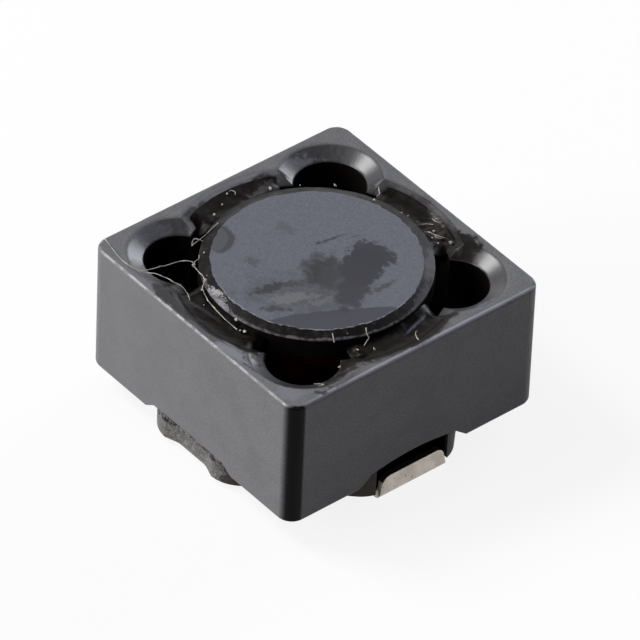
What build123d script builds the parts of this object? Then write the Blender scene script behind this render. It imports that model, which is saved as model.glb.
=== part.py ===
from build123d import *
import math
import os

# A shielded surface-mount power inductor. A ferrite drum carries the coil and stands inside a square
# ferrite ring, both on a moulded base with a tinned terminal at +X and at -X.
# Millimetres, +Z up. The origin is on the board's surface, under the middle of the part.

# Square shield ring
side = 7.30
shield_height = 3.46
corner_radius = 0.40
edge_round = 0.08
foot_chamfer = 0.05
bore_radius = 3.08
bore_chamfer = 0.42
chamfer_depth = 0.23

# Four lobes that open the bore towards the corners
lobe_centre = 3.10
lobe_radius = 0.85
lobe_chamfer = 0.40

# Cut-outs in the middle of the ring's four lower edges
cutout_mouth = 3.26
cutout_roof = 2.50
end_cutout_shoulder = 0.31
end_cutout_crown = 0.45
side_cutout_shoulder = 0.25
side_cutout_crown = 0.28

# Moulded base
base_flat = 7.26
base_diagonal = 6.82
base_corner_radius = 0.90
base_thickness = 0.435
lug_clearance = 0.05
side_recess_width = 1.20
side_recess_depth = 0.12
side_recess_round = 0.25
pocket_width = 2.10
pocket_inner = 2.35
pocket_floor = 0.15
pocket_round = 0.10

# Tinned terminals
terminal_width = 2.00
terminal_top_width = 1.72
terminal_height = 0.59
terminal_thickness = 0.15
terminal_foot = 1.60
terminal_bend = 0.12
terminal_corner = 0.24
anchor_height = 0.16
anchor_width = 1.20

# Ferrite drum
drum_radius = 2.70
drum_height = 3.53
flange_thickness = 0.60
drum_chamfer = 0.27
drum_chamfer_depth = 0.09
post_radius = 1.25
flange_edge_chamfer = 0.05
drum_bond_thickness = 0.05
drum_bond_radius = 2.10

# Coil of enamelled copper wire
wire_diameter = 0.20
coil_radius = 2.35
coil_end_gap = 0.06

# Lead wires, from the coil's lowest turn to the terminals
lead_clearance = 0.01
lead_start_angle = 18.0
lead_bend = 0.22
lead_end_gap = 0.04
notch_clearance = 0.08

# Solder fillet behind each terminal
solder_width = 0.80
solder_reach = 0.42
solder_height = 0.25
solder_toe = 0.05

# Adhesive between the drum's upper flange and the ring
adhesive_half_angle = 25.0
adhesive_bottom = 0.48
adhesive_sag = 0.05
adhesive_drum_drop = 0.10
adhesive_spread = 0.28

# Levels and places that follow from the sizes
base_bottom = terminal_thickness
seat = base_bottom + base_thickness
shield_top = seat + shield_height
drum_bottom = seat + drum_bond_thickness
drum_top = drum_bottom + drum_height
lower_flange_top = drum_bottom + flange_thickness
upper_flange_bottom = drum_top - flange_thickness
half_side = side / 2
terminal_inner = half_side - terminal_thickness
pocket_level = base_bottom + pocket_floor
wire_radius = wire_diameter / 2
rib_crest = wire_diameter / 2
lobe_xy = lobe_centre / math.sqrt(2)
turns_per_layer = int((upper_flange_bottom - lower_flange_top - coil_end_gap) / wire_diameter)
lead_orbit = coil_radius + wire_radius + lead_clearance
lead_drop = lead_orbit / math.cos(math.radians(lead_start_angle))
lead_start_level = lower_flange_top + wire_radius
lead_end_level = pocket_level + wire_radius + lead_clearance


def extruded(outline, depth, plane=Plane.XY):
    """A prism from a closed outline, drawn on the plane and pushed along its normal."""
    return extrude(plane * make_face(outline), amount=depth)


def tapered_hole(radius, chamfer):
    """A through hole of the ring with its conical mouth, as a solid to take away."""
    mouth_level = shield_top - chamfer_depth
    hole = Pos(0, 0, seat) * Cylinder(
        radius, shield_height, align=(Align.CENTER, Align.CENTER, Align.MIN))
    mouth = Pos(0, 0, mouth_level) * Cone(
        radius, radius + chamfer, chamfer_depth, align=(Align.CENTER, Align.CENTER, Align.MIN))
    return hole + mouth


def cutout_outline(shoulder, crown, clearance):
    """Opening with sloped ends and an arched roof, drawn square to a side on the ring's lower edge."""
    mouth = cutout_mouth / 2 - clearance
    roof = cutout_roof / 2 - clearance
    rise = shoulder - clearance
    middle = (0, crown - clearance)
    return Wire([
        Line((-mouth, 0), (mouth, 0)),
        Line((mouth, 0), (roof, rise)),
        ThreePointArc((roof, rise), middle, (-roof, rise)),
        Line((-roof, rise), (-mouth, 0)),
    ])


def side_plane(angle, offset, level=0.0):
    """Upright plane facing outwards at an angle about Z, X along the side and Y up."""
    turn = math.radians(angle)
    outward = Vector(math.cos(turn), math.sin(turn), 0)
    along = Vector(-math.sin(turn), math.cos(turn), 0)
    return Plane(outward * offset + Vector(0, 0, level), x_dir=along, z_dir=outward)


def cutout_sizes(angle):
    """Shoulder and crown of the cut-out on one side: the terminals' sides have the taller ones."""
    if angle % 180 == 0:
        return end_cutout_shoulder, end_cutout_crown
    return side_cutout_shoulder, side_cutout_crown


def cutout_prism(angle, clearance):
    """The cut-out's shape through the ring's wall, or a lug's shape when given a clearance."""
    shoulder, crown = cutout_sizes(angle)
    plane = side_plane(angle, 0, seat)
    return extruded(cutout_outline(shoulder, crown, clearance), half_side, plane)


def shield_core():
    """Square ferrite ring with a chamfered bore, four chamfered lobes and four lower cut-outs."""
    ring = Pos(0, 0, seat) * Box(
        side, side, shield_height, align=(Align.CENTER, Align.CENTER, Align.MIN))
    ring = fillet(ring.edges().filter_by(Axis.Z), corner_radius)
    ring = fillet(ring.faces().sort_by(Axis.Z)[-1].edges(), edge_round)
    ring = chamfer(ring.faces().sort_by(Axis.Z)[0].edges(), foot_chamfer)
    ring -= tapered_hole(bore_radius, bore_chamfer)
    for x_sign in (-1, 1):
        for y_sign in (-1, 1):
            place = Pos(x_sign * lobe_xy, y_sign * lobe_xy, 0)
            ring -= place * tapered_hole(lobe_radius, lobe_chamfer)
    for angle in (0, 90, 180, 270):
        ring -= cutout_prism(angle, 0)
    return ring


def lead_path(angle):
    """Centre line of a lead: off the coil at a tangent, down the notch, out to the terminal."""
    start_turn = math.radians(lead_start_angle)
    start = (lead_orbit * math.cos(start_turn), -lead_orbit * math.sin(start_turn), lead_start_level)
    path = FilletPolyline(
        start,
        (lead_drop, 0, lead_start_level),
        (lead_drop, 0, lead_end_level),
        (terminal_inner - lead_end_gap, 0, lead_end_level),
        radius=lead_bend,
    )
    return Rot(0, 0, angle) * path


def lead_wire(angle):
    """Round lead wire swept along its path."""
    path = lead_path(angle)
    return sweep(Plane(path @ 0, z_dir=path % 0) * Circle(wire_radius), path=path)


def drum_core():
    """Turned ferrite drum: post, two flanges, a chamfered top and two notches for the leads."""
    flat_radius = drum_radius - drum_chamfer
    outline = Polyline(
        (0, drum_bottom),
        (drum_radius, drum_bottom),
        (drum_radius, lower_flange_top),
        (post_radius, lower_flange_top),
        (post_radius, upper_flange_bottom),
        (drum_radius, upper_flange_bottom),
        (drum_radius, drum_top - drum_chamfer_depth),
        (flat_radius, drum_top),
        (0, drum_top),
        close=True,
    )
    drum = revolve(Plane.XZ * make_face(outline), axis=Axis.Z)
    rims = drum.edges().filter_by(GeomType.CIRCLE).filter_by(
        lambda edge: abs(edge.radius - drum_radius) < 0.001
        and edge.center().Z < drum_top - drum_chamfer_depth - 0.001)
    drum = chamfer(rims, flange_edge_chamfer)
    notch_radius = wire_radius + notch_clearance
    for angle in (0, 180):
        groove = Pos(lead_drop, 0, drum_bottom) * Cylinder(
            notch_radius, flange_thickness, align=(Align.CENTER, Align.CENTER, Align.MIN))
        groove += Pos(lead_drop, 0, drum_bottom) * Box(
            drum_radius, 2 * notch_radius, flange_thickness, align=(Align.MIN, Align.CENTER, Align.MIN))
        drum -= Rot(0, 0, angle) * groove
    return drum


def winding():
    """Layer-wound coil as one solid, its outer layer of turns standing out as ribs."""
    rib_root = coil_radius - wire_radius
    coil_top = lower_flange_top + turns_per_layer * wire_diameter
    outline = [(rib_root, coil_top), (post_radius, coil_top), (post_radius, lower_flange_top)]
    for turn in range(turns_per_layer):
        middle = lower_flange_top + (turn + 0.5) * wire_diameter
        outline.append((rib_root, middle - wire_radius))
        outline.append((coil_radius, middle - rib_crest / 2))
        outline.append((coil_radius, middle + rib_crest / 2))
    return revolve(Plane.XZ * make_face(Polyline(*outline, close=True)), axis=Axis.Z)


def terminal_outline():
    """Front view of a terminal: a strip whose sides lean in to rounded upper corners."""
    foot = terminal_width / 2
    top = terminal_top_width / 2
    blank = Polyline(
        (-foot, 0), (foot, 0), (top, terminal_height), (-top, terminal_height), close=True)
    face = make_face(blank)
    corners = face.vertices().group_by(Axis.Y)[-1]
    return fillet(corners, terminal_corner)


def terminal(angle):
    """Bent strip: an upright wall flush with the ring, a foot underneath and an anchor tab."""
    foot_start = half_side - terminal_foot
    profile = Polyline(
        (foot_start, 0),
        (half_side, 0),
        (half_side, terminal_height),
        (terminal_inner, terminal_height),
        (terminal_inner, terminal_thickness),
        (foot_start, terminal_thickness),
        close=True,
    )
    strip = extrude(Plane.XZ * make_face(profile), amount=terminal_width / 2, both=True)
    heel = strip.edges().filter_by(Axis.Y).filter_by(
        lambda edge: edge.center().X > half_side - 0.001 and edge.center().Z < 0.001)
    strip = fillet(heel, terminal_bend)
    strip &= extrude(side_plane(0, 0) * terminal_outline(), amount=side)
    strip += anchor()
    return Rot(0, 0, angle) * strip


def anchor():
    """Tab at the foot's inner end, turned up into the base."""
    place = Pos(half_side - terminal_foot, 0, terminal_thickness)
    return place * Box(
        terminal_thickness, anchor_width, anchor_height, align=(Align.MIN, Align.CENTER, Align.MIN))


def base_outline():
    """Octagon with rounded corners, its flats just inside the ring's sides."""
    square = Rectangle(base_flat, base_flat)
    diamond = Rot(0, 0, 45) * Rectangle(base_diagonal, base_diagonal)
    octagon = square & diamond
    return fillet(octagon.vertices(), base_corner_radius)


def side_recess(angle):
    """Shallow hollow up the middle of a base side that has no terminal."""
    hollow = Pos(base_flat / 2, 0, base_bottom) * Box(
        2 * side_recess_depth, side_recess_width, base_thickness + side_cutout_crown,
        align=(Align.CENTER, Align.CENTER, Align.MIN))
    inner = hollow.edges().filter_by(Axis.Z).group_by(Axis.X)[0]
    hollow = fillet(inner, min(side_recess_round, side_recess_depth * 0.9))
    return Rot(0, 0, angle) * hollow


def terminal_pocket(angle):
    """Space that the terminal and its solder joint take out of the base."""
    wall_slot = Pos(terminal_inner, 0, base_bottom) * Box(
        side, pocket_width, shield_height, align=(Align.MIN, Align.CENTER, Align.MIN))
    pocket = Pos(pocket_inner, 0, pocket_level) * Box(
        side, pocket_width, shield_height, align=(Align.MIN, Align.CENTER, Align.MIN))
    pocket = fillet(pocket.edges().filter_by(Axis.Z).group_by(Axis.X)[0], pocket_round)
    return Rot(0, 0, angle) * (wall_slot + pocket + anchor())


def base():
    """Moulded base: an octagonal plate, a lug in each of the ring's cut-outs, two pockets."""
    plate = Pos(0, 0, base_bottom) * extrude(base_outline(), amount=base_thickness)
    column = Pos(0, 0, base_bottom) * extrude(base_outline(), amount=base_thickness + shield_height)
    core = Pos(0, 0, seat) * Cylinder(
        bore_radius, shield_height, align=(Align.CENTER, Align.CENTER, Align.MIN))
    for angle in (0, 90, 180, 270):
        plate += (cutout_prism(angle, lug_clearance) & column) - core
    for angle in (90, 270):
        plate -= side_recess(angle)
    for angle in (0, 180):
        plate -= terminal_pocket(angle)
    return plate


def solder_joint(angle):
    """Concave fillet of solder between the terminal's inner face and the lead wire's end."""
    toe = terminal_inner - solder_reach
    sag = (terminal_inner - solder_reach * 0.36, pocket_level + solder_height * 0.46)
    profile = Wire([
        Line((terminal_inner, pocket_level), (terminal_inner, pocket_level + solder_height)),
        ThreePointArc(
            (terminal_inner, pocket_level + solder_height), sag, (toe, pocket_level + solder_toe)),
        Line((toe, pocket_level + solder_toe), (toe, pocket_level)),
        Line((toe, pocket_level), (terminal_inner, pocket_level)),
    ])
    fillet_body = extrude(Plane.XZ * make_face(profile), amount=solder_width / 2, both=True)
    return Rot(0, 0, angle) * fillet_body - lead_wire(angle)


def drum_adhesive(angle):
    """Bead that fills the gap between the drum's upper flange and the ring, with a sunk surface."""
    spread_drop = chamfer_depth * (1 - adhesive_spread / bore_chamfer)
    inner_top = (drum_radius, drum_top - drum_chamfer_depth - adhesive_drum_drop)
    outer_top = (bore_radius + adhesive_spread, shield_top - spread_drop)
    bottom = min(shield_top, drum_top) - adhesive_bottom
    dip = ((inner_top[0] + outer_top[0]) / 2, min(inner_top[1], outer_top[1]) - adhesive_sag)
    profile = Wire([
        Line((drum_radius, bottom), (outer_top[0], bottom)),
        Line((outer_top[0], bottom), outer_top),
        ThreePointArc(outer_top, dip, inner_top),
        Line(inner_top, (drum_radius, bottom)),
    ])
    bead = revolve(
        Plane.XZ * make_face(profile), axis=Axis.Z, revolution_arc=2 * adhesive_half_angle)
    bead = Rot(0, 0, angle - adhesive_half_angle) * bead
    return bead & tapered_hole(bore_radius, bore_chamfer)


def shield_bond(angle):
    """Thin adhesive between the roof of a cut-out and the lug below it."""
    column = Pos(0, 0, base_bottom) * extrude(base_outline(), amount=base_thickness + shield_height)
    core = Pos(0, 0, seat) * Cylinder(
        bore_radius, shield_height, align=(Align.CENTER, Align.CENTER, Align.MIN))
    roof = Pos(0, 0, seat + side_cutout_shoulder - lug_clearance) * Box(
        side, side, shield_height, align=(Align.CENTER, Align.CENTER, Align.MIN))
    film = cutout_prism(angle, 0) - cutout_prism(angle, lug_clearance)
    return ((film & column) & roof) - core - side_recess(angle)


def drum_bond():
    """Disc of adhesive under the drum."""
    return Pos(0, 0, seat) * Cylinder(
        drum_bond_radius, drum_bond_thickness, align=(Align.CENTER, Align.CENTER, Align.MIN))


def build_parts():
    """Every piece of the inductor, by the name of its node."""
    parts = {
        "shield_core": shield_core(),
        "drum_core": drum_core(),
        "winding": winding(),
        "base": base(),
        "drum_bond": drum_bond(),
    }
    for name, angle in (("pos_x", 0), ("neg_x", 180)):
        parts[f"terminal_{name}"] = terminal(angle)
        parts[f"lead_wire_{name}"] = lead_wire(angle)
        parts[f"solder_{name}"] = solder_joint(angle)
    for name, angle in (("pos_y", 90), ("neg_y", 270)):
        parts[f"shield_bond_{name}"] = shield_bond(angle)
    for name, angle in (("pos_x", 0), ("pos_y", 90), ("neg_x", 180), ("neg_y", 270)):
        parts[f"adhesive_{name}"] = drum_adhesive(angle)
    return parts


os.makedirs("parts", exist_ok=True)
for node, solid in build_parts().items():
    export_step(solid, f"parts/{node}.step")
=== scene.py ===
"""Looks of a shielded surface-mount power inductor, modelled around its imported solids.

Every piece is modelled in millimetres, as at the bench, and turned to metres when it is settled.
"""

import logging
import math
from collections.abc import Callable, Iterator
from contextlib import contextmanager
from dataclasses import dataclass
from enum import Enum

import bmesh
import bpy
from mathutils import Matrix, Vector, noise


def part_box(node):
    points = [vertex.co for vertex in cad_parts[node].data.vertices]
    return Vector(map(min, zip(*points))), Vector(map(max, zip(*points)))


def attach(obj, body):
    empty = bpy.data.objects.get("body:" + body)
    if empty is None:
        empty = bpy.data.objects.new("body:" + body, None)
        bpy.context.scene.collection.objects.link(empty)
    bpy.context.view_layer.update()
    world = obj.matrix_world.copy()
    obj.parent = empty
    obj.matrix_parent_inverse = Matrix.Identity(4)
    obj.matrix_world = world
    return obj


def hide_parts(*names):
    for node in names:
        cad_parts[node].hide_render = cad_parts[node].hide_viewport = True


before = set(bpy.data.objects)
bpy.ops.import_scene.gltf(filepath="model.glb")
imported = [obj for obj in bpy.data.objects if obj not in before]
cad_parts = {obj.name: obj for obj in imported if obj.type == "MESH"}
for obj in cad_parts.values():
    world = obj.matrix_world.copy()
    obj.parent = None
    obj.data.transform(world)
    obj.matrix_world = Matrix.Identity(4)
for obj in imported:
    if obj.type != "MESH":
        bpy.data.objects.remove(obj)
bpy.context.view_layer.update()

Piece = bpy.types.Object
Material = bpy.types.Material
Socket = bpy.types.NodeSocket
Colour = tuple[float, float, float, float]

LOG = logging.getLogger("inductor")
BODY = "root"
METRES = 0.001
TINY = 0.0001
QUARTER_TURNS = (0, 90, 180, 270)
HALF_TURNS = (0, 180)

# Sizes that two or more pieces share, in millimetres
BORE_RADIUS = 3.08
DRUM_RADIUS = 2.70
POST_RADIUS = 1.25

# Where in the noise the three parts of a drift are read
DRIFT_PLACES = ((0.31, -0.62, 0.18), (-0.45, 0.27, 0.83), (0.74, 0.12, -0.56))


# Bench work: selection, drawing and modifiers


def linear(code: str) -> Colour:
    """Turns an sRGB hex colour into the linear colour that a shader takes.

    Args:
        code: the colour as "#rrggbb".

    Returns:
        Red, green, blue and an alpha of 1.
    """
    channels = [int(code[place:place + 2], 16) / 255 for place in (1, 3, 5)]
    red, green, blue = [c / 12.92 if c <= 0.04045 else ((c + 0.055) / 1.055) ** 2.4 for c in channels]
    return red, green, blue, 1.0


def node_box(name: str) -> tuple[Vector, Vector]:
    """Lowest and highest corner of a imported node, in millimetres."""
    low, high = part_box(name)
    return low / METRES, high / METRES


def only(piece: Piece) -> None:
    """Makes one object the only one that is selected, and the active one."""
    bpy.ops.object.select_all(action="DESELECT")
    piece.select_set(True)
    bpy.context.view_layer.objects.active = piece


@contextmanager
def editing(piece: Piece, mode: str = "VERT") -> Iterator[None]:
    """Opens a piece in edit mode with nothing selected, and closes it again.

    Args:
        piece: the mesh object to edit.
        mode: what is selected in it, VERT, EDGE or FACE.
    """
    only(piece)
    bpy.ops.object.mode_set(mode="EDIT")
    bpy.ops.mesh.select_mode(type=mode)
    bpy.ops.mesh.select_all(action="DESELECT")
    yield
    bpy.ops.object.mode_set(mode="OBJECT")


def pick_edges(piece: Piece, test: Callable[[Vector, Vector], bool]) -> None:
    """Selects the edges of a piece in edit mode whose two ends pass a test.

    Args:
        piece: the mesh object that is being edited.
        test: takes the two ends of an edge and says whether it is wanted.
    """
    mesh = bmesh.from_edit_mesh(piece.data)
    for edge in mesh.edges:
        edge.select_set(test(edge.verts[0].co, edge.verts[1].co))
    bmesh.update_edit_mesh(piece.data)


def place_mesh(piece: Piece) -> None:
    """Moves an object's place, turn and scale into its mesh."""
    only(piece)
    bpy.ops.object.transform_apply(location=True, rotation=True, scale=True)


def modify(piece: Piece, kind: str, **settings: object) -> None:
    """Adds a modifier with its settings and applies it.

    Args:
        piece: the mesh object.
        kind: the modifier's type.
        settings: the modifier's own settings.
    """
    only(piece)
    change = piece.modifiers.new(kind.lower(), kind)
    for name, value in settings.items():
        setattr(change, name, value)
    bpy.ops.object.modifier_apply(modifier=change.name)


def combine(piece: Piece, tool: Piece, operation: str = "DIFFERENCE") -> None:
    """Cuts, adds or keeps the overlap of a piece and a tool, and deletes the tool.

    Args:
        piece: the mesh object that is changed.
        tool: the closed mesh object that it is combined with.
        operation: DIFFERENCE, UNION or INTERSECT.
    """
    modify(piece, "BOOLEAN", object=tool, operation=operation, solver="EXACT")
    bpy.data.objects.remove(tool)


def soften(piece: Piece, width: float, segments: int = 2, angle: float = 35.0) -> None:
    """Rounds every edge of a piece that is sharper than an angle.

    Args:
        piece: the mesh object.
        width: the width of the rounding.
        segments: spans across it.
        angle: the turn in degrees from which an edge is rounded.
    """
    modify(piece, "BEVEL", width=width, segments=segments, limit_method="ANGLE",
           angle_limit=math.radians(angle), use_clamp_overlap=True)


def face_outwards(piece: Piece) -> None:
    """Closes seams by merging doubled points, then turns every face outwards."""
    with editing(piece):
        bpy.ops.mesh.select_all(action="SELECT")
        bpy.ops.mesh.remove_doubles(threshold=TINY)
        bpy.ops.mesh.normals_make_consistent(inside=False)


def turned(x: float, y: float, z: float, degrees: float = 0.0) -> Vector:
    """A point turned about the upright axis."""
    return Matrix.Rotation(math.radians(degrees), 3, "Z") @ Vector((x, y, z))


def rounded(corners: list[tuple[float, float, float]], closed: bool = False, steps: int = 6) -> list[Vector]:
    """Rounds the corners of a flat line.

    Args:
        corners: two coordinates and a radius for each corner. An open line's ends have none.
        closed: whether the last corner joins the first.
        steps: spans of each arc.

    Returns:
        The points of the rounded line.
    """
    points = []
    for index, (across, along, radius) in enumerate(corners):
        here = Vector((across, along))
        if radius == 0 or (not closed and index in (0, len(corners) - 1)):
            points.append(here)
            continue
        before = (Vector(corners[index - 1][:2]) - here).normalized()
        after = (Vector(corners[(index + 1) % len(corners)][:2]) - here).normalized()
        half = before.angle(after) / 2
        centre = here + (before + after).normalized() * radius / math.sin(half)
        start = here + before * radius / math.tan(half) - centre
        end = here + after * radius / math.tan(half) - centre
        points += [centre + start.slerp(end, step / steps).normalized() * radius for step in range(steps + 1)]
    return points


def arch(half_width: float, foot: float, crown: float, steps: int = 16) -> list[tuple[float, float]]:
    """Points of a low arch from its right end to its left end, for use in an outline.

    Args:
        half_width: half the arch's width.
        foot: height of its two ends.
        crown: height of its middle.
        steps: spans of the arch.
    """
    rise = crown - foot
    radius = (half_width ** 2 + rise ** 2) / (2 * rise)
    reach = math.asin(half_width / radius)
    turns = [reach * (1 - 2 * step / steps) for step in range(steps + 1)]
    return [(radius * math.sin(turn), crown - radius + radius * math.cos(turn)) for turn in turns]


def draw_line(name: str, points: list[Vector], closed: bool = False) -> Piece:
    """Draws a line of edges by extruding one point along it.

    Args:
        name: the new object's name.
        points: the line's points.
        closed: whether the line is closed and filled with a face.

    Returns:
        The drawn object, with its place in its mesh.
    """
    bpy.ops.object.select_all(action="DESELECT")
    bpy.ops.mesh.primitive_plane_add(size=1, location=points[0])
    piece = bpy.context.active_object
    piece.name = name
    with editing(piece):
        bpy.ops.mesh.select_all(action="SELECT")
        bpy.ops.mesh.merge(type="CENTER")
        for before, after in zip(points, points[1:]):
            bpy.ops.mesh.extrude_region_move(TRANSFORM_OT_translate={"value": after - before})
        if closed:
            bpy.ops.mesh.select_all(action="SELECT")
            bpy.ops.mesh.edge_face_add()
    place_mesh(piece)
    return piece


def prism(name: str, outline: list[Vector], push: Vector) -> Piece:
    """Draws a closed outline, fills it and pushes it into a solid.

    Args:
        name: the new object's name.
        outline: the outline's points.
        push: the way and distance that the face is pushed.
    """
    piece = draw_line(name, outline, closed=True)
    with editing(piece, "FACE"):
        bpy.ops.mesh.select_all(action="SELECT")
        bpy.ops.mesh.extrude_region_move(TRANSFORM_OT_translate={"value": push})
    face_outwards(piece)
    return piece


def block(name: str, low: Vector, high: Vector) -> Piece:
    """A box between two corners, as a start for a piece or as a tool to cut with."""
    bpy.ops.object.select_all(action="DESELECT")
    bpy.ops.mesh.primitive_cube_add(size=1, location=(low + high) / 2, scale=high - low)
    piece = bpy.context.active_object
    piece.name = name
    place_mesh(piece)
    return piece


def turning(
    name: str, profile: list[Vector], steps: int = 192, start: float = 0.0, sweep: float = 360.0
) -> Piece:
    """Turns a profile about the upright axis, as on a lathe.

    Args:
        name: the new object's name.
        profile: radius and height of each point.
        steps: spans of the whole sweep.
        start: the angle in degrees at which the profile is drawn.
        sweep: the angle in degrees that it is turned through.
    """
    drawn = [turned(radius, 0, height, start) for radius, height in profile]
    piece = draw_line(name, drawn)
    with editing(piece):
        bpy.ops.mesh.select_all(action="SELECT")
        bpy.ops.mesh.spin(steps=steps, angle=-math.radians(sweep), center=(0, 0, 0), axis=(0, 0, 1))
    face_outwards(piece)
    return piece


def drift(point: Vector) -> Vector:
    """A smooth step away from a point, the same in every run.

    The noise library's own vector noise is set by the clock when it loads, so it isn't used.
    """
    return Vector([noise.noise(point + Vector(place)) for place in DRIFT_PLACES])


def move_points(piece: Piece, rule: Callable[[Vector], Vector]) -> None:
    """Moves each point of a piece by a rule, as with a soft brush."""
    for point in piece.data.vertices:
        point.co = rule(point.co.copy())
    piece.data.update()


def settle(
    piece: Piece, name: str, material: Material,
    nodes: tuple[str, ...] = (), smooth: float = 32.0,
) -> Piece:
    """Finishes a piece: shading, millimetres to metres, material, body and the nodes that it stands for.

    Args:
        piece: the modelled object, in millimetres.
        name: its final name.
        material: its finish.
        nodes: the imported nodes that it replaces.
        smooth: edges under this turn in degrees are shaded smooth.

    Returns:
        The same object, at the origin, unturned and unscaled.
    """
    piece.name = name
    piece.data.name = name
    only(piece)
    bpy.ops.object.shade_smooth_by_angle(angle=math.radians(smooth))
    modify(piece, "WEIGHTED_NORMAL", keep_sharp=True)
    piece.scale = (METRES, METRES, METRES)
    place_mesh(piece)
    piece.data.materials.clear()
    piece.data.materials.append(material)
    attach(piece, BODY)
    if nodes:
        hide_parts(*nodes)
    LOG.info("%s: %d faces", name, len(piece.data.polygons))
    return piece


# Finishes


def add_node(
    tree: bpy.types.NodeTree, kind: str, inputs: dict | None = None, **settings: object
) -> bpy.types.Node:
    """Adds a shader node with its settings, its values and the links that come in.

    Args:
        tree: the material's node tree.
        kind: the node's type.
        inputs: a value or an output socket for each named or numbered input.
        settings: the node's own settings.

    Returns:
        The new node.
    """
    node = tree.nodes.new(kind)
    for name, value in settings.items():
        setattr(node, name, value)
    for name, value in (inputs or {}).items():
        if isinstance(value, Socket):
            tree.links.new(value, node.inputs[name])
        else:
            node.inputs[name].default_value = value
    return node


def shade(level: float) -> Colour:
    """A neutral grey of that linear level, for masks."""
    return level, level, level, 1.0


@dataclass(frozen=True)
class Blank:
    """A new material: its tree, its shader, and place and facing on the part in millimetres."""

    material: Material
    tree: bpy.types.NodeTree
    shader: bpy.types.Node
    place: Socket
    at: tuple[Socket, ...]
    facing: tuple[Socket, ...]

    @classmethod
    def named(cls, name: str, **sockets: object) -> "Blank":
        """Starts a material whose shader has some fixed values.

        Args:
            name: the material's name.
            sockets: the shader's socket values, with spaces written as underscores.

        Returns:
            The material, ready to be given its pattern.
        """
        material = bpy.data.materials.new(name)
        material.use_nodes = True
        tree = material.node_tree
        shader = tree.nodes["Principled BSDF"]
        for socket, value in sockets.items():
            shader.inputs[socket.replace("_", " ")].default_value = value
        coordinates = add_node(tree, "ShaderNodeTexCoord")
        place = add_node(tree, "ShaderNodeMapping", {
            "Vector": coordinates.outputs["Object"], "Scale": (1000.0, 1000.0, 1000.0)}).outputs[0]
        at = add_node(tree, "ShaderNodeSeparateXYZ", {0: place}).outputs
        facing = add_node(tree, "ShaderNodeSeparateXYZ", {0: coordinates.outputs["Normal"]}).outputs
        return cls(material, tree, shader, place, tuple(at), tuple(facing))

    def add(self, kind: str, inputs: dict | None = None, **settings: object) -> bpy.types.Node:
        """Adds a node to this material."""
        return add_node(self.tree, kind, inputs, **settings)

    def clouds(self, size: float, detail: float = 3.0, rough: float = 0.55) -> Socket:
        """Cloudy noise whose lumps are that many millimetres wide."""
        return self.add("ShaderNodeTexNoise", {
            "Vector": self.place, "Scale": 1 / size, "Detail": detail, "Roughness": rough}).outputs[0]

    def between(
        self, value: Socket, low: float, high: float, at_low: float = 0.0, at_high: float = 1.0
    ) -> Socket:
        """A soft step between two limits of a value.

        Args:
            value: the value.
            low: the limit at which the step starts. It may be the higher one.
            high: the limit at which the step ends.
            at_low: what it gives before the step.
            at_high: what it gives after the step.
        """
        return self.add("ShaderNodeMapRange", {
            "Value": value, "From Min": low, "From Max": high, "To Min": at_low, "To Max": at_high},
            interpolation_type="SMOOTHSTEP").outputs[0]

    def math(self, operation: str, first: object, second: object = 0.0) -> Socket:
        """Result of one arithmetic operation on one or two values."""
        return self.add("ShaderNodeMath", {0: first, 1: second}, operation=operation).outputs[0]

    def product(self, *values: object) -> Socket:
        """Product of several values."""
        result = values[0]
        for value in values[1:]:
            result = self.math("MULTIPLY", result, value)
        return result

    def without(self, value: object) -> Socket:
        """What is left of 1 when a share is taken away."""
        return self.math("SUBTRACT", 1.0, value)

    def reach(self, across: object, along: object) -> Socket:
        """Length of a flat line from its two coordinates."""
        line = self.add("ShaderNodeCombineXYZ", {0: across, 1: along})
        return self.add("ShaderNodeVectorMath", {0: line.outputs[0]}, operation="LENGTH").outputs["Value"]

    def ragged(self, value: object, size: float, depth: float) -> Socket:
        """A distance made uneven by noise.

        Args:
            value: the distance.
            size: width of the noise's lumps in millimetres.
            depth: how far it may go either way.
        """
        return self.math("ADD", value, self.between(self.clouds(size, 4.0), 0.25, 0.75, -depth, depth))

    def spot(
        self, centre: tuple[float, float], half: tuple[float, float], turn: float = 0.0,
        ragged: float = 0.25, soft: float = 0.2, size: float = 0.3,
    ) -> Socket:
        """An uneven oval mark as seen from above.

        Args:
            centre: the mark's middle in millimetres.
            half: half its length and half its width.
            turn: degrees that its length is turned from X.
            ragged: how uneven its outline is, as a share of its size.
            soft: how soft its outline is, as a share of its size.
            size: width of the outline's lumps in millimetres.
        """
        local = self.add("ShaderNodeMapping", {
            "Vector": self.place, "Location": (*centre, 0.0), "Rotation": (0.0, 0.0, math.radians(turn)),
            "Scale": (*half, 1000.0)}, vector_type="TEXTURE").outputs[0]
        length = self.add("ShaderNodeVectorMath", {0: local}, operation="LENGTH").outputs["Value"]
        return self.between(self.ragged(length, size, ragged), 1.0 + soft, 1.0 - soft)

    def blend(self, share: object, first: object, second: object) -> Socket:
        """Mixes two colours by a share."""
        return self.add("ShaderNodeMix", {0: share, 6: first, 7: second}, data_type="RGBA").outputs[2]

    def relief(self, height: Socket, depth: float) -> Socket:
        """Bump of that depth in millimetres."""
        return self.add("ShaderNodeBump", {
            "Height": height, "Strength": 1.0, "Distance": depth * METRES}).outputs[0]

    def connect(self, **sockets: object) -> Material:
        """Links sockets into the shader, or sets values on it, and gives the finished material."""
        for name, value in sockets.items():
            socket = self.shader.inputs[name.replace("_", " ")]
            if isinstance(value, Socket):
                self.tree.links.new(value, socket)
            else:
                socket.default_value = value
        return self.material


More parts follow.
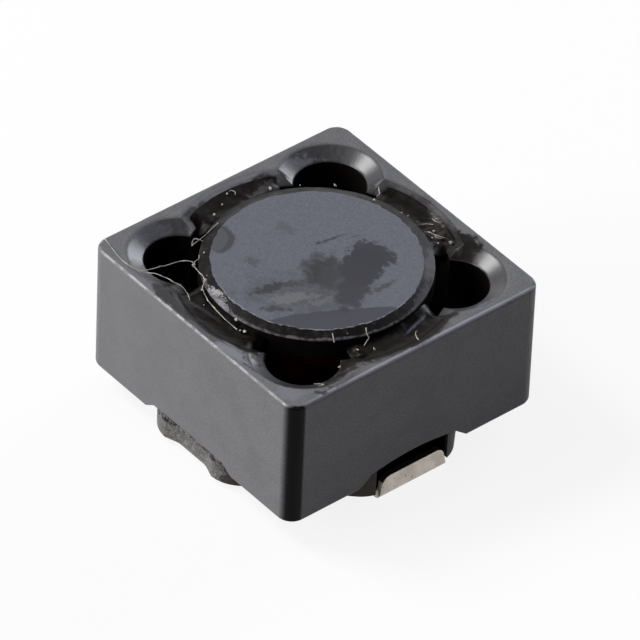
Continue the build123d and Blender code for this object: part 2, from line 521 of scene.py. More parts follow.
@dataclass(frozen=True)
class Mark:
    """An uneven oval mark on an upper face: a smear, a scrape or a stain."""

    centre: tuple[float, float]
    half: tuple[float, float]
    turn: float
    colour: str
    strength: float = 0.8
    ragged: float = 0.25
    soft: float = 0.2
    size: float = 0.3

    def lay(self, new: Blank, tone: object, where: object) -> Socket:
        """Lays the mark over a colour.

        Args:
            new: the material.
            tone: the colour so far.
            where: a share that keeps the mark to its own face.
        """
        spot = new.spot(self.centre, self.half, self.turn, self.ragged, self.soft, self.size)
        return new.blend(new.product(spot, where, self.strength), tone, linear(self.colour))


@dataclass(frozen=True)
class PressedFerrite:
    """Sintered ferrite, pressed and tumbled: a dark satin grey with a fine grain.

    Tumbling burnishes the cones and rims, so that they catch the light. The cones' darker colour is
    painted shade, and the rims' lighter colour, a light line along the +X top edge and the lighter
    patches on the cones are painted highlights. The front upright corner is painted near-black as a
    painted dark reflection, the walls inside are painted near-black as painted shade, and the -Y face is
    painted lighter towards its left end as painted light. Adhesive has stained the bore's mouth.
    """

    body: str = "#67676a"
    grain_pale: str = "#77777a"
    grain_dark: str = "#58585b"
    # cone: painted shade, the countersinks' cones painted darker
    cone: str = "#38373b"
    # rim: painted highlight, the rims painted lighter
    rim: str = "#83838c"
    # corner: painted dark reflection on the front upright corner
    corner: str = "#0a0807"
    film: str = "#1d1917"
    # inside: painted shade on the walls inside the ring
    inside: str = "#0f0c0b"
    grain: float = 0.05
    cloud: float = 0.8
    rim_start: float = 3.50
    corner_shade_start: float = 2.90
    # Span along X over which the -Y face is painted lighter towards its left end: painted light.
    painted_light_span: tuple[float, float] = (2.5, -3.5)
    mouth_radius: float = 3.43
    mouth_shift: tuple[float, float] = (0.12, 0.0)
    lobe_place: float = 2.192
    lobe_mouth: float = 1.25
    marks: tuple[Mark, ...] = (
        Mark((-0.50, -3.46), (3.60, 0.30), 0.0, "#77787c", 0.55, 0.2, 0.4, 0.8),
        Mark((-0.95, -3.38), (0.80, 0.19), 0.0, "#343132", 0.88, 0.35, 0.35, 0.3),
        Mark((0.10, -3.47), (0.75, 0.15), 0.0, "#453f44", 0.60, 0.40, 0.40, 0.3),
        Mark((3.46, 0.05), (0.22, 0.75), 0.0, "#37363a", 0.7, 0.4, 0.4, 0.3),
        # A painted highlight: a light line along the +X top edge.
        Mark((3.59, 0.30), (0.06, 3.80), 0.0, "#9c9ca8", 0.75, 0.15, 0.4, 0.5),
        Mark((1.28, -3.45), (0.55, 0.10), 8.0, "#85858e", 0.7, 0.4, 0.35, 0.2),
        Mark((1.55, -3.10), (0.34, 0.20), -20.0, "#35343a", 0.75, 0.6, 0.3, 0.15),
        Mark((2.02, -3.16), (0.26, 0.035), -28.0, "#8c8c98", 0.8, 0.4, 0.3, 0.1),
        Mark((2.05, -3.42), (0.35, 0.05), 10.0, "#2b2a30", 0.6, 0.6, 0.3, 0.1),
        Mark((3.10, -3.30), (0.35, 0.20), 40.0, "#7c7c88", 0.6, 0.4, 0.3, 0.2),
        Mark((3.50, -2.74), (0.17, 0.06), 50.0, "#2b2a30", 0.8, 0.5, 0.3, 0.1),
        Mark((3.44, -2.00), (0.14, 0.45), 0.0, "#3b383b", 0.5, 0.5, 0.4, 0.3),
        Mark((-2.20, -3.30), (0.30, 0.10), 5.0, "#66706e", 0.8, 0.4, 0.3, 0.2),
    )
    # Painted highlights: lighter patches on the cones where they catch the light.
    cone_highlights: tuple[Mark, ...] = (
        Mark((-3.22, -2.25), (0.20, 0.50), 0.0, "#5b5c64", 0.8, 0.4, 0.4, 0.2),
        Mark((-2.25, -3.22), (0.50, 0.20), 0.0, "#6c6c72", 0.8, 0.4, 0.4, 0.2),
        Mark((-3.10, 1.85), (0.26, 0.66), -15.0, "#6c6c74", 0.85, 0.5, 0.4, 0.15),
        Mark((-3.40, 0.10), (0.12, 1.40), 0.0, "#85858c", 0.85, 0.4, 0.4, 0.2),
        Mark((0.92, -3.29), (0.26, 0.10), -15.0, "#85858e", 0.85, 0.4, 0.4, 0.15),
        Mark((3.26, -2.16), (0.04, 0.16), -10.0, "#7a7a88", 0.7, 0.8, 0.3, 0.05),
        Mark((3.30, 1.90), (0.12, 0.45), 0.0, "#6f7380", 0.6, 0.5, 0.4, 0.15),
    )
    films: tuple[Mark, ...] = (
        Mark((1.44, -2.88), (0.42, 0.20), -35.0, "", 1.0, 0.4, 0.25, 0.25),
        Mark((3.02, -1.36), (0.54, 0.27), 65.0, "", 1.0, 0.4, 0.25, 0.25),
        Mark((1.62, -3.00), (0.26, 0.17), -10.0, "", 0.92, 0.5, 0.3, 0.12),
        Mark((1.30, 2.84), (0.42, 0.26), -40.0, "", 1.0, 0.3, 0.25, 0.25),
        Mark((-1.40, 2.95), (0.34, 0.20), 30.0, "", 0.5, 0.4, 0.4, 0.2),
        Mark((3.20, -2.10), (0.60, 0.13), 88.0, "", 0.85, 0.6, 0.3, 0.12),
        Mark((2.95, -2.90), (0.60, 0.14), 45.0, "", 0.65, 0.5, 0.3, 0.15),
        Mark((1.45, 3.06), (0.52, 0.38), -8.0, "", 0.97, 0.25, 0.15, 0.3),
        Mark((-1.45, -2.92), (0.42, 0.26), -40.0, "", 0.95, 0.4, 0.25, 0.25),
    )

    def material(self) -> Material:
        """The ring's material."""
        new = Blank.named("pressed_tumbled_ferrite", Specular_IOR_Level=0.2, Coat_Roughness=0.27)
        across, along = [new.math("ABSOLUTE", axis) for axis in new.at[:2]]
        reach = new.math("MAXIMUM", across, along)
        lobe = new.reach(*[new.math("SUBTRACT", value, self.lobe_place) for value in (across, along)])
        up = new.facing[2]
        slope = new.product(new.between(up, 0.975, 0.90), new.between(up, 0.25, 0.55))
        outer = new.between(reach, self.rim_start, self.rim_start + 0.05)
        rim_breaks = new.between(new.clouds(0.22, 4.0), 0.40, 0.60, 0.2, 0.95)
        rim = new.product(outer, new.between(up, 0.96, 0.84), new.between(up, 0.40, 0.65), rim_breaks)
        level = new.between(up, 0.5, 0.7)
        speckle = new.between(new.clouds(self.grain, 2.0), 0.35, 0.7)
        tone = new.blend(speckle, linear(self.body), linear(self.grain_pale))
        patches = new.between(new.clouds(self.cloud, 5.0, 0.65), 0.42, 0.62, 0.0, 0.28)
        tone = new.blend(patches, tone, linear(self.grain_dark))
        # Painted light: the -Y face is painted lighter towards its left end.
        pale = new.product(new.between(new.facing[1], -0.8, -0.95), new.between(new.at[0], *self.painted_light_span))
        tone = new.blend(new.product(pale, 0.5), tone, linear(self.grain_pale))
        for mark in self.marks:
            tone = mark.lay(new, tone, level)
        # Painted highlight: the rims are painted lighter, in broken stretches.
        tone = new.blend(rim, tone, linear(self.rim))
        # Painted shade: the countersinks' cones are painted darker.
        cone = new.product(slope, new.without(outer))
        tone = new.blend(new.product(cone, 0.93), tone, linear(self.cone))
        # Painted highlights: lighter patches on the cones.
        for mark in self.cone_highlights:
            tone = mark.lay(new, tone, cone)
        film = self.film_share(new, level, lobe)
        tone = new.blend(film, tone, linear(self.film))
        # Painted shade: the walls inside the ring are painted near-black.
        inside = new.product(new.between(up, 0.5, 0.2), new.between(up, -0.7, -0.4), new.without(outer))
        tone = new.blend(inside, tone, linear(self.inside))
        # Painted dark reflection: the front upright corner is painted near-black.
        corner = new.product(new.between(new.facing[0], 0.02, 0.55), new.between(new.facing[1], -0.02, -0.20))
        corner = new.product(corner, new.between(new.at[0], self.corner_shade_start, self.corner_shade_start + 0.3))
        tone = new.blend(corner, tone, linear(self.corner))
        # The painted dark reflection on the corner and the painted shade inside also take away most of the
        # specular reflection there, and so does the adhesive film.
        dull = new.math("MAXIMUM", new.math("MAXIMUM", corner, inside), new.product(film, 0.7))
        share = new.between(lobe, self.lobe_mouth + 0.10, self.lobe_mouth - 0.05, 0.15, 1.0)
        burnish = new.math("MAXIMUM", new.product(cone, share, 0.9), rim)
        burnish = new.product(burnish, new.without(new.product(film, 0.85)))
        knocks = new.product(cone, new.clouds(0.13, 3.0), 4.0)
        dents = new.math("ADD", new.clouds(self.grain, 3.0), knocks)
        rough = new.between(new.math("MAXIMUM", film, corner), 0.0, 1.0, 0.55, 0.42)
        return new.connect(
            Base_Color=tone, Roughness=rough, Coat_Weight=burnish,
            Specular_Tint=new.blend(dull, shade(1.0), shade(0.1)),
            Normal=new.relief(dents, 0.005))

    def film_share(self, new: Blank, level: Socket, lobe: Socket) -> Socket:
        """Where a film of adhesive covers the bore's mouth, between the lobes.

        Args:
            new: the material.
            level: the share of faces that look up.
            lobe: distance from the nearest lobe's axis.
        """
        east = new.math("SUBTRACT", new.at[0], self.mouth_shift[0])
        north = new.math("SUBTRACT", new.at[1], self.mouth_shift[1])
        radius = new.ragged(new.reach(east, north), 0.45, 0.07)
        inward = new.between(radius, self.mouth_radius + 0.06, self.mouth_radius - 0.08)
        clear = new.between(new.ragged(lobe, 0.3, 0.05), self.lobe_mouth - 0.12, self.lobe_mouth + 0.04)
        film = new.product(inward, clear, 0.92)
        for mark in self.films:
            spot = new.spot(mark.centre, mark.half, mark.turn, mark.ragged, mark.soft, mark.size)
            film = new.math("MAXIMUM", film, new.product(spot, mark.strength))
        return new.product(film, level)


@dataclass(frozen=True)
class GroundFerrite:
    """Ferrite drum: a ground, blue-grey satin top with a smeared patch, and a black fired rim.

    The thin bright line where the flat ends and the light line at the chamfer's lower edge, on the side
    towards the front, are painted highlights. The upright walls are painted near-black as painted shade,
    and adhesive has stained the rim.
    """

    top: str = "#63656f"
    grain_pale: str = "#70727b"
    # edge: painted highlight, a thin bright line where the flat ends
    edge: str = "#9b9ca4"
    fired: str = "#120f0e"
    scuff: str = "#292628"
    # Painted highlight: a light line at the chamfer's lower edge.
    lip_highlight: str = "#8a8890"
    # wall: painted shade on the drum's upright walls
    wall: str = "#0c0908"
    flat_radius: float = 2.43
    lip_radius: float = DRUM_RADIUS - 0.07
    grain: float = 0.045
    marks: tuple[Mark, ...] = (
        Mark((0.60, -1.15), (1.05, 0.58), 50.0, "#54555a", 0.55, 0.5, 0.6, 0.30),
        Mark((1.05, -0.85), (0.70, 0.50), 55.0, "#4f5055", 0.50, 0.5, 0.6, 0.25),
        Mark((0.70, -1.28), (0.48, 0.16), 62.0, "#77787b", 0.65, 0.6, 0.4, 0.12),
        Mark((1.22, -0.72), (0.36, 0.10), 75.0, "#717276", 0.6, 0.6, 0.4, 0.12),
        Mark((0.12, -1.52), (0.36, 0.14), 75.0, "#3a3b3c", 0.80, 0.5, 0.4, 0.12),
        Mark((0.28, -1.02), (0.32, 0.12), 60.0, "#414243", 0.70, 0.6, 0.4, 0.12),
        Mark((0.78, -1.80), (0.34, 0.09), 50.0, "#404143", 0.75, 0.6, 0.4, 0.12),
        Mark((2.27, -0.85), (2.60, 0.62), 59.5, "#484950", 0.85, 0.05, 0.03, 0.5),
        Mark((0.42, -0.12), (0.56, 0.46), -32.0, "#3a3c3c", 0.90, 0.30, 0.45, 0.20),
        Mark((0.92, 0.10), (0.60, 0.50), -50.0, "#4a4b50", 0.75, 0.40, 0.50, 0.20),
        Mark((0.62, 1.10), (0.54, 0.44), 15.0, "#414148", 0.95, 0.25, 0.12, 0.16),
        Mark((0.80, 0.68), (0.66, 0.50), -50.0, "#414148", 0.95, 0.20, 0.12, 0.16),
        Mark((1.32, -0.02), (0.72, 0.33), -55.0, "#434349", 0.90, 0.25, 0.25, 0.20),
        Mark((1.64, 0.56), (0.36, 0.07), 92.0, "#4a4a4e", 0.75, 0.6, 0.3, 0.10),
        Mark((-0.38, 0.72), (0.38, 0.045), 80.0, "#43444a", 0.85, 0.5, 0.35, 0.12),
        Mark((-0.12, 1.20), (0.20, 0.025), 75.0, "#4f5056", 0.6, 0.5, 0.4, 0.1),
        Mark((-0.82, -1.19), (0.18, 0.12), 0.0, "#4e504f", 0.6, 0.6, 0.5, 0.1),
        Mark((-1.32, 0.13), (0.22, 0.16), 0.0, "#535555", 0.5, 0.6, 0.5, 0.1),
        Mark((-1.87, -1.28), (0.48, 0.28), -44.0, "#434548", 0.85, 0.12, 0.10, 0.3),
        Mark((-1.91, -1.33), (0.40, 0.20), -44.0, "#585a5e", 0.85, 0.15, 0.12, 0.3),
    )
    scuffs: tuple[Mark, ...] = (
        Mark((-0.36, -2.58), (0.44, 0.10), -8.0, "#706d72", 0.9, 0.8, 0.3, 0.10),
        Mark((-0.52, -2.50), (0.20, 0.06), 5.0, "#a29ea3", 0.9, 0.9, 0.3, 0.05),
        Mark((-0.18, -2.62), (0.14, 0.05), -10.0, "#8e8a8f", 0.9, 0.9, 0.3, 0.05),
        Mark((1.60, 2.02), (0.70, 0.12), -45.0, "#4e4a50", 0.7, 0.5, 0.4, 0.2),
        Mark((2.40, 1.10), (0.60, 0.10), -65.0, "#4c4850", 0.7, 0.5, 0.4, 0.2),
        Mark((-2.38, 0.00), (0.10, 1.10), 0.0, "#343437", 0.8, 0.5, 0.4, 0.3),
        Mark((-1.60, 1.95), (0.80, 0.12), 40.0, "#3c3a3b", 0.7, 0.5, 0.4, 0.3),
    )

    def material(self) -> Material:
        """The drum's material."""
        new = Blank.named("ground_ferrite", Specular_IOR_Level=0.25, Coat_Roughness=0.28)
        radius = new.ragged(new.reach(*new.at[:2]), 0.25, 0.022)
        level = new.between(new.facing[2], 0.5, 0.7)
        flat = new.between(radius, self.flat_radius + 0.01, self.flat_radius - 0.01)
        grain = new.clouds(self.grain, 2.0)
        tone = new.blend(new.between(grain, 0.35, 0.7), linear(self.top), linear(self.grain_pale))
        for mark in self.marks:
            tone = mark.lay(new, tone, level)
        # The painted highlights below are kept to the side towards the front.
        front = new.between(new.math("SUBTRACT", new.at[0], new.at[1]), 0.8, 2.4)
        # Painted highlight: a thin bright line where the flat ends, in broken stretches.
        edge = new.product(new.between(radius, self.flat_radius - 0.04, self.flat_radius - 0.01), front)
        highlight_breaks = new.between(new.clouds(0.12, 3.0), 0.35, 0.6)
        tone = new.blend(new.product(edge, highlight_breaks, 0.8), tone, linear(self.edge))
        burnt = new.between(new.clouds(0.22, 5.0, 0.65), 0.48, 0.66)
        stain = new.blend(burnt, linear(self.fired), linear(self.scuff))
        for scuff in self.scuffs:
            stain = scuff.lay(new, stain, level)
        # Painted highlight: a light line at the chamfer's lower edge, on the side towards the front.
        lip_highlight = new.between(radius, self.lip_radius, self.lip_radius + 0.04)
        lip_highlight = new.product(lip_highlight, new.between(new.facing[2], 0.15, 0.35), front)
        lip_highlight = new.product(lip_highlight, new.between(highlight_breaks, 0.0, 1.0, 0.35, 1.0), 0.42)
        stain = new.blend(lip_highlight, stain, linear(self.lip_highlight))
        # Painted shade: the upright walls are painted near-black.
        stain = new.blend(new.between(new.facing[2], 0.40, 0.20), stain, linear(self.wall))
        tone = new.blend(flat, stain, tone)
        return new.connect(
            Base_Color=tone, Roughness=new.between(flat, 0.0, 1.0, 0.50, 0.40),
            Coat_Weight=new.product(new.without(flat), new.between(new.facing[2], 0.2, 0.5), 0.14),
            Specular_Tint=new.blend(flat, shade(0.3), shade(1.0)),
            Normal=new.relief(new.clouds(self.grain, 3.0), 0.003))


@dataclass(frozen=True)
class EnamelledCopper:
    """Copper wire under a dark red-brown enamel: a soft gloss with a warm core."""

    # A dark red-brown enamel, kept darker still as painted shade for the coil deep in the cavity.
    enamel: str = "#4c160c"
    dark: str = "#220a06"

    def material(self) -> Material:
        """The coil's and the leads' material."""
        new = Blank.named("enamelled_copper_wire", Roughness=0.6, Specular_IOR_Level=0.15)
        tone = new.blend(new.between(new.clouds(0.5), 0.35, 0.7), linear(self.enamel), linear(self.dark))
        return new.connect(
            Base_Color=tone, Specular_Tint=linear(self.enamel), Normal=new.relief(new.clouds(0.08), 0.003))


@dataclass(frozen=True)
class MouldedResin:
    """Mineral-filled resin, moulded and gritty: an olive grey, speckled light and dark.

    Adhesive has seeped into the seam above the lugs at the sides. The ends by the terminals are painted
    dark brown as painted shade, and so is a patch on the -Y side near x 1.5 mm.
    """

    resin: str = "#62605f"
    fleck: str = "#858382"
    pit: str = "#1f1b1b"
    # Painted shade for the base's ends by the terminals.
    flux: str = "#2a1f1a"
    grit: float = 0.06
    end_shade_start: float = 2.2
    seam_level: float = 0.68
    # A painted shade patch on the -Y side, where the boss's side turns from the light.
    stain: Mark = Mark((1.46, -3.55), (0.30, 0.40), 0.0, "#1d1410", 0.85, 0.4, 0.4, 0.15)

    def material(self) -> Material:
        """The base's material."""
        new = Blank.named("moulded_filled_resin", Roughness=0.62, Specular_IOR_Level=0.25)
        grit = new.clouds(self.grit, 3.0)
        tone = new.blend(new.between(grit, 0.42, 0.72), linear(self.resin), linear(self.fleck))
        specks = new.between(new.clouds(0.12, 4.0, 0.7), 0.54, 0.45)
        seam = new.between(new.at[2], self.seam_level - 0.18, self.seam_level)
        tone = new.blend(new.product(specks, new.between(seam, 0.0, 1.0, 0.15, 0.95)), tone, linear(self.pit))
        # Painted shade patch on the -Y side.
        tone = self.stain.lay(new, tone, 1.0)
        # Painted shade: the ends by the terminals are painted dark brown.
        end = new.between(new.math("ABSOLUTE", new.at[0]), self.end_shade_start, self.end_shade_start + 0.5)
        tone = new.blend(new.product(end, 0.85), tone, linear(self.flux))
        return new.connect(Base_Color=tone, Normal=new.relief(grit, 0.012))


@dataclass(frozen=True)
class MatteTin:
    """Matte tin plate on copper strip: a soft warm grey metal, a little blotched and pitted.

    Every face that looks up is painted near-black brown and made barely metallic, as painted shade
    under the ring's overhang.
    """

    plate: str = "#c8c1b8"
    dull: str = "#bab3aa"
    pit: str = "#4a443e"
    # Painted shade on the faces that look up.
    cut: str = "#17120e"

    def material(self) -> Material:
        """The terminals' material."""
        new = Blank.named("matte_tin_plate", Metallic=1.0)
        cloud = new.clouds(0.45, 4.0)
        tone = new.blend(new.between(cloud, 0.35, 0.7), linear(self.plate), linear(self.dull))
        pits = new.between(new.clouds(0.10, 2.0), 0.31, 0.26)
        tone = new.blend(pits, tone, linear(self.pit))
        # Painted shade: faces that look up are painted near-black brown and made barely metallic.
        cut = new.between(new.facing[2], 0.35, 0.6)
        tone = new.blend(cut, tone, linear(self.cut))
        return new.connect(
            Base_Color=tone, Metallic=new.between(cut, 0.0, 1.0, 1.0, 0.1),
            Roughness=new.between(cloud, 0.3, 0.7, 0.62, 0.72),
            Normal=new.relief(new.clouds(0.06, 3.0), 0.004))


@dataclass(frozen=True)
class FluxedSolder:
    """Dull solder under brown flux."""

    metal: str = "#4f4a44"
    flux: str = "#1f1712"

    def material(self) -> Material:
        """The solder joints' material."""
        new = Blank.named("solder_with_flux", Metallic=0.8, Roughness=0.45)
        tone = new.blend(new.between(new.clouds(0.2), 0.3, 0.5), linear(self.metal), linear(self.flux))
        return new.connect(Base_Color=tone, Normal=new.relief(new.clouds(0.1), 0.01))


@dataclass(frozen=True)
class CuredEpoxy:
    """Cured epoxy: a glossy brown black with a wet skin and a little dust in it."""

    epoxy: str = "#151110"
    skin: str = "#201b19"
    # Near-black: painted shade in the crease by the drum, on steep faces and at the bead's ends.
    groove_shade: str = "#060404"
    groove_radius: float = 2.93
    marks: tuple[Mark, ...] = (
        Mark((1.20, 2.94), (0.13, 0.09), 30.0, "#8b8488", 0.8, 0.6, 0.4, 0.08),
        Mark((0.31, 3.28), (0.30, 0.06), -10.0, "#6f6a6c", 0.7, 0.6, 0.4, 0.08),
        Mark((-1.15, 2.80), (0.09, 0.08), 0.0, "#8e888a", 0.8, 0.6, 0.4, 0.06),
        Mark((0.75, 2.95), (0.55, 0.16), -20.0, "#4a4240", 0.6, 0.7, 0.4, 0.10),
        # A painted highlight: a pale gloss streak on the +X bead.
        Mark((2.85, 0.60), (0.40, 0.035), 107.0, "#565966", 0.7, 0.3, 0.6, 0.15),
        Mark((-2.95, 0.80), (0.10, 0.60), 15.0, "#4c4a4c", 0.6, 0.6, 0.4, 0.12),
        Mark((-0.50, -2.98), (0.60, 0.05), 8.0, "#3e3a3c", 0.7, 0.5, 0.4, 0.12),
    )

    def material(self) -> Material:
        """The adhesive's material."""
        new = Blank.named("cured_epoxy", Roughness=0.34, Specular_IOR_Level=0.35)
        tone = new.blend(new.between(new.clouds(0.22, 4.0), 0.4, 0.7), linear(self.epoxy), linear(self.skin))
        for mark in self.marks:
            tone = mark.lay(new, tone, 1.0)
        # Painted shade: near-black in the crease by the drum, on steep faces and towards the bead's ends; it
        # also dims the specular there.
        radius = new.ragged(new.reach(*new.at[:2]), 0.3, 0.05)
        groove_shade = new.between(radius, self.groove_radius, self.groove_radius - 0.15)
        groove_shade = new.math("MAXIMUM", groove_shade, new.between(new.facing[2], 0.75, 0.45))
        across, along = [new.math("ABSOLUTE", axis) for axis in new.at[:2]]
        slant = new.math("DIVIDE", new.math("MINIMUM", across, along), new.math("MAXIMUM", across, along))
        groove_shade = new.math("MAXIMUM", groove_shade, new.between(new.ragged(slant, 0.2, 0.05), 0.30, 0.40, 0.0, 0.9))
        tone = new.blend(groove_shade, tone, linear(self.groove_shade))
        return new.connect(
            Base_Color=tone, Specular_Tint=new.blend(groove_shade, shade(0.7), shade(0.04)),
            Normal=new.relief(new.clouds(0.35, 3.0), 0.014))


@dataclass(frozen=True)
class CottonLint:
    """Cotton lint and dust: pale warm threads, matte and a little see-through at their edges."""

    thread: str = "#b9b4ac"
    dust: str = "#8d877e"

    def material(self) -> Material:
        """The lint's and the crumbs' material."""
        new = Blank.named("cotton_lint", Roughness=0.8, Specular_IOR_Level=0.2)
        dusty = new.between(new.clouds(0.15, 3.0), 0.4, 0.65)
        tone = new.blend(dusty, linear(self.thread), linear(self.dust))
        return new.connect(Base_Color=tone, Normal=new.relief(new.clouds(0.03), 0.003))


@dataclass(frozen=True)
class StudioPaper:
    """White paper under the part: it looks white, takes a soft shadow and throws little light back."""

    paper: str = "#fafafa"
    bounce: str = "#b4b4b4"
    own_light: float = 0.86

    def material(self) -> Material:
        """The floor's material."""
        new = Blank.named("studio_paper", Roughness=1.0, Specular_IOR_Level=0.0)
        rays = new.add("ShaderNodeLightPath")
        seen = new.math("MAXIMUM", rays.outputs["Is Camera Ray"], rays.outputs["Is Glossy Ray"])
        seen = new.math("MAXIMUM", seen, rays.outputs["Is Transmission Ray"])
        tone = new.blend(seen, linear(self.bounce), linear(self.paper))
        new.connect(Base_Color=tone)
        glow = new.add("ShaderNodeEmission", {"Color": shade(1.0), "Strength": 1.0})
        mix = new.add("ShaderNodeMixShader", {
            0: new.math("MULTIPLY", seen, self.own_light), 1: new.shader.outputs[0], 2: glow.outputs[0]})
        output = new.tree.nodes["Material Output"]
        new.tree.links.new(mix.outputs[0], output.inputs["Surface"])
        return new.material


# Sub-assemblies


@dataclass(frozen=True)
class CutOut:
    """The low arch in the middle of each of the ring's lower edges, which a lug of the base fills."""

    mouth_half: float = 1.63
    roof_half: float = 1.25
    end_arch: tuple[float, float] = (0.31, 0.45)
    side_arch: tuple[float, float] = (0.25, 0.28)

    def outline(self, angle: float, sink: float, clearance: float = 0.0) -> list[tuple[float, float]]:
        """Points of the cut-out's outline, across the edge and up from the ring's foot.

        Args:
            angle: the side it is in. The two ends with a terminal have a higher arch.
            sink: how far the outline reaches below the ring's foot.
            clearance: how far the outline stays inside the cut-out.

        Returns:
            The outline's points, anticlockwise from its lower left.
        """
        shoulder, crown = self.end_arch if angle in HALF_TURNS else self.side_arch
        mouth = self.mouth_half - clearance
        points = [(-mouth, 0.0), (-mouth, -sink), (mouth, -sink), (mouth, 0.0)]
        return points + arch(self.roof_half - clearance, shoulder - clearance, crown - clearance)


@dataclass
class ShieldRing:
    """Square ferrite ring with a chamfered bore, four countersunk lobes and four lower cut-outs."""

    material: Material
    corner_radius: float = 0.40
    rim_round: float = 0.09
    bore_radius: float = BORE_RADIUS
    bore_chamfer: float = 0.42
    lobe_centre: float = 3.10
    lobe_radius: float = 0.85
    lobe_chamfer: float = 0.40
    chamfer_depth: float = 0.23
    over: float = 0.5

    def __post_init__(self) -> None:
        """Reads the ring's own box from the frame."""
        self.low, self.high = node_box("shield_core")

    def blank(self) -> Piece:
        """The pressed square block with its rounded corners and rims."""
        body = block("shield_ring", self.low, self.high)
        with editing(body, "EDGE"):
            pick_edges(body, lambda a, b: abs(a.z - b.z) > TINY)
            bpy.ops.mesh.bevel(offset=self.corner_radius, segments=14, affect="EDGES")
        with editing(body, "EDGE"):
            pick_edges(body, lambda a, b: abs(a.z - b.z) < TINY)
            bpy.ops.mesh.bevel(offset=self.rim_round, segments=5, affect="EDGES")
        return body

    def countersink(self, radius: float, chamfer: float, steps: int, place: Vector) -> Piece:
        """A tool for one round hole with its softly rounded conical mouth.

        Args:
            radius: the hole's radius.
            chamfer: how much wider the mouth is at the top.
            steps: spans round the hole.
            place: the hole's axis.
        """
        top = self.high.z
        wide = radius + chamfer + self.over
        profile = rounded([
            (0.0, self.low.z - self.over, 0.0),
            (radius, self.low.z - self.over, 0.0),
            (radius, top - self.chamfer_depth, 0.08),
            (radius + chamfer, top, 0.40),
            (wide, top + 0.03, 0.0),
            (wide, top + self.over, 0.0),
            (0.0, top + self.over, 0.0),
        ])
        tool = turning("countersink", profile, steps)
        tool.location = place
        place_mesh(tool)
        return tool

    def cutout(self, angle: float) -> Piece:
        """A tool for the arched cut-out in one lower edge."""
        points = CutOut().outline(angle, self.over)
        outline = [turned(0.0, across, self.low.z + up, angle) for across, up in points]
        return prism("cutout", outline, turned(self.high.x + self.over, 0, 0, angle))

    def build(self) -> Piece:
        """Models the ring."""
        body = self.blank()
        combine(body, self.countersink(self.bore_radius, self.bore_chamfer, 192, Vector()))
        for angle in (45, 135, 225, 315):
            place = turned(self.lobe_centre, 0, 0, angle)
            combine(body, self.countersink(self.lobe_radius, self.lobe_chamfer, 96, place))
        for angle in QUARTER_TURNS:
            combine(body, self.cutout(angle))
        return settle(body, "shield_ring", self.material, ("shield_core",))


@dataclass
class Drum:
    """Turned ferrite drum with a post, two flanges and a chamfered, ground top."""

    material: Material
    flange: float = 0.60
    post_radius: float = POST_RADIUS
    chamfer: float = 0.27
    chamfer_depth: float = 0.09
    edge_round: float = 0.05
    notch_half: float = 0.18
    notch_reach: float = 2.5866
    unevenness: float = 0.012

    def __post_init__(self) -> None:
        """Reads the drum's own box from the frame."""
        self.low, self.high = node_box("drum_core")

    def build(self) -> Piece:
        """Models the drum."""
        radius, bottom, top = self.high.x, self.low.z, self.high.z
        profile = rounded([
            (0.0, bottom, 0.0),
            (radius, bottom, self.edge_round),
            (radius, bottom + self.flange, self.edge_round),
            (self.post_radius, bottom + self.flange, 0.0),
            (self.post_radius, top - self.flange, 0.0),
            (radius, top - self.flange, self.edge_round),
            (radius, top - self.chamfer_depth, self.edge_round),
            (radius - self.chamfer, top, 0.10),
            (0.0, top, 0.0),
        ])
        body = turning("drum", profile, 256)
        for angle in HALF_TURNS:
            combine(body, self.notch(angle))
        move_points(body, self.fired)
        return settle(body, "drum", self.material, ("drum_core",))

    def notch(self, angle: float) -> Piece:
        """A tool for the notch that lets a lead through the lower flange."""
        half, reach = self.notch_half, self.notch_reach
        corners = [(self.high.x + half, -half, 0.0), (self.high.x + half, half, 0.0)]
        corners += [(reach - half, half, half * 0.95), (reach - half, -half, half * 0.95)]
        outline = [turned(x, y, self.low.z - half, angle) for x, y in rounded(corners, closed=True, steps=10)]
        return prism("notch", outline, Vector((0, 0, self.flange + 2 * half)))

    def fired(self, point: Vector) -> Vector:
        """Moves a point of the fired rim a little, as a kiln leaves it."""
        radius = math.hypot(point.x, point.y)
        share = max(0.0, min(1.0, (radius - self.high.x + self.chamfer + 0.02) / 0.1))
        depth = self.unevenness * share * max(0.0, noise.noise(point * 4.0) + 0.2)
        return point - Vector((point.x, point.y, radius)).normalized() * depth


@dataclass
class Coil:
    """Coil of round wire on the drum's post: the outer layer's real turns over a plain inner body."""

    material: Material
    wire: float = 0.20
    post_radius: float = POST_RADIUS

    def build(self) -> Piece:
        """Models the coil."""
        low, high = node_box("winding")
        centre = high.x - self.wire / 2
        bpy.ops.object.select_all(action="DESELECT")
        bpy.ops.mesh.primitive_circle_add(
            vertices=12, radius=self.wire / 2, fill_type="NOTHING",
            location=(centre, 0, low.z + self.wire / 2), rotation=(math.pi / 2, 0, 0))
        turns = bpy.context.active_object
        place_mesh(turns)
        count = round((high.z - low.z) / self.wire) - 1
        modify(turns, "SCREW", axis="Z", angle=math.tau, steps=96, render_steps=96,
               screw_offset=self.wire, iterations=count)
        with editing(turns):
            bpy.ops.mesh.select_all(action="SELECT")
            bpy.ops.mesh.fill_holes(sides=0)
        profile = [Vector(p) for p in (
            (self.post_radius, low.z), (centre, low.z), (centre, high.z), (self.post_radius, high.z),
            (self.post_radius, low.z))]
        body = turning("coil_body", profile, 96)
        only(turns)
        body.select_set(True)
        bpy.ops.object.join()
        face_outwards(turns)
        return settle(turns, "coil", self.material, ("winding",))


